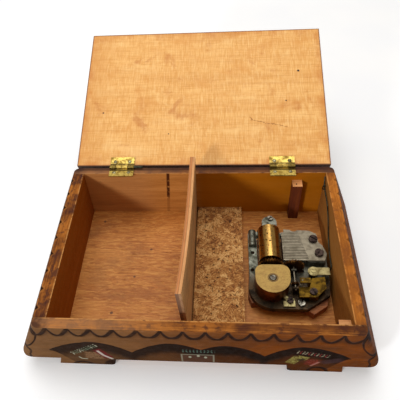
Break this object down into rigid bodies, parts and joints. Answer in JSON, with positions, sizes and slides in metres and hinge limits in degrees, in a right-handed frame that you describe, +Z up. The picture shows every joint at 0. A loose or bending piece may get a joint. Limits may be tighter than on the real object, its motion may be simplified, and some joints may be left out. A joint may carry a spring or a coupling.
{
  "type": "cylinder music box",
  "caption": "Small wooden wind-up cylinder music box with flared ends, standing open, with the comb movement, an empty tray and a loose plywood panel",
  "frame": {"origin": "middle of the bounding box's base with the lid open, on the table under the feet", "axes": "+X to the right along the hinge line, +Y from the front of the case to the lid, +Z up"},
  "size_m": [0.179, 0.2062, 0.0758],
  "materials": {
    "walnut_boards": "worn satin stain with burned edges",
    "inner_wood": "bare pale softwood",
    "lid_maple": "polished ripple veneer",
    "plywood": "raw dusty plywood",
    "chipboard": "raw chipboard",
    "packing_wood": "reddish board",
    "zinc": "dull cast zinc",
    "brass": "aged brass",
    "steel": "ground steel",
    "blued_screws": "dark blued steel",
    "bright_screws": "bright plated steel",
    "spring_steel": "dark spring wire"
  },
  "bodies": {
    "case": {"front_board": "walnut_boards", "back_board": "walnut_boards", "end_wall_l": "walnut_boards", "end_wall_r": "walnut_boards", "bottom_panel": "inner_wood", "hinge_leaf_box_l": "brass", "hinge_leaf_box_r": "brass", "hinge_pin_l": "spring_steel", "hinge_pin_r": "spring_steel", "hinge_nails_box": "brass", "chip_strip": "chipboard", "post_back": "inner_wood", "post_front": "inner_wood", "packing_board": "packing_wood", "movement_base": "zinc", "movement_screws": "bright_screws", "ear_screw": "bright_screws", "corner_screw": "bright_screws", "comb": "steel", "comb_screws": "blued_screws", "spring_housing": "brass", "mainspring": "spring_steel", "click_screw": "blued_screws", "governor_bracket": "brass", "bracket_screw": "blued_screws", "lever_rivet": "steel", "wire_staple": "spring_steel"},
    "lid": {"lid_board": "lid_maple", "hinge_leaf_lid_l": "brass", "hinge_leaf_lid_r": "brass", "hinge_nails_lid": "brass"},
    "panel": {"loose_panel": "plywood"},
    "cylinder": {"cylinder_barrel": "brass", "cylinder_pins": "steel", "cylinder_arbor": "steel", "cylinder_gear": "brass"},
    "great": {"great_wheel": "brass"},
    "winding": {"winding_arbor": "bright_screws", "ratchet_wheel": "steel", "winding_key": "bright_screws"},
    "pawl": {"click": "brass"},
    "governor": {"governor_arbor": "steel", "governor_gear": "brass", "worm_wheel": "brass"},
    "worm_shaft": {"worm": "steel", "fly": "brass"},
    "lever": {"stop_lever": "brass"},
    "wire": {"stop_wire": "spring_steel"}
  },
  "joints": [
    {"name": "lid_hinge", "type": "hinge", "parent": "case", "child": "lid", "pos_m": [0.00088, 0.00431, 0.0438], "axis": [1, 0, 0], "range_deg": [0, 161.2]},
    {"name": "panel_fall", "type": "hinge", "parent": "case", "child": "panel", "pos_m": [-0.00542, -0.04609, 0.0089], "axis": [0, -1, 0], "range_deg": [0, 87]},
    {"name": "cylinder_spin", "type": "hinge", "parent": "case", "child": "cylinder", "pos_m": [0.04018, -0.03709, 0.0212], "axis": [0, 1, 0], "continuous": true},
    {"name": "great_wheel_spin", "type": "hinge", "parent": "case", "child": "great", "pos_m": [0.04018, -0.06209, 0.0143], "axis": [0, 0, 1], "continuous": true},
    {"name": "key_turn", "type": "hinge", "parent": "case", "child": "winding", "pos_m": [0.04018, -0.06209, 0.003], "axis": [0, 0, 1], "continuous": true},
    {"name": "click_swing", "type": "hinge", "parent": "case", "child": "pawl", "pos_m": [0.04928, -0.07079, 0.0173], "axis": [0, 0, 1], "range_deg": [-8, 8]},
    {"name": "governor_spin", "type": "hinge", "parent": "case", "child": "governor", "pos_m": [0.05218, -0.05809, 0.0212], "axis": [0, 1, 0], "continuous": true},
    {"name": "worm_spin", "type": "hinge", "parent": "case", "child": "worm_shaft", "pos_m": [0.05548, -0.06249, 0.0212], "axis": [0, 0, 1], "continuous": true},
    {"name": "stop_lever_turn", "type": "hinge", "parent": "case", "child": "lever", "pos_m": [0.06238, -0.05459, 0.0216], "axis": [0, 0, 1], "range_deg": [-7.5, 0]},
    {"name": "stop_wire_rock", "type": "hinge", "parent": "case", "child": "wire", "pos_m": [0.07213, -0.00649, 0.0369], "axis": [1, 0, 0], "range_deg": [-3, 0]}
  ],
  "couplings": [
    {"joint": "panel_fall", "follows": "lid_hinge", "ratio": 0.5397},
    {"joint": "great_wheel_spin", "follows": "cylinder_spin", "ratio": 0.59091},
    {"joint": "governor_spin", "follows": "cylinder_spin", "ratio": -1.1818},
    {"joint": "worm_spin", "follows": "cylinder_spin", "ratio": -14.182},
    {"joint": "stop_lever_turn", "follows": "stop_wire_rock", "ratio": 2.5}
  ]
}
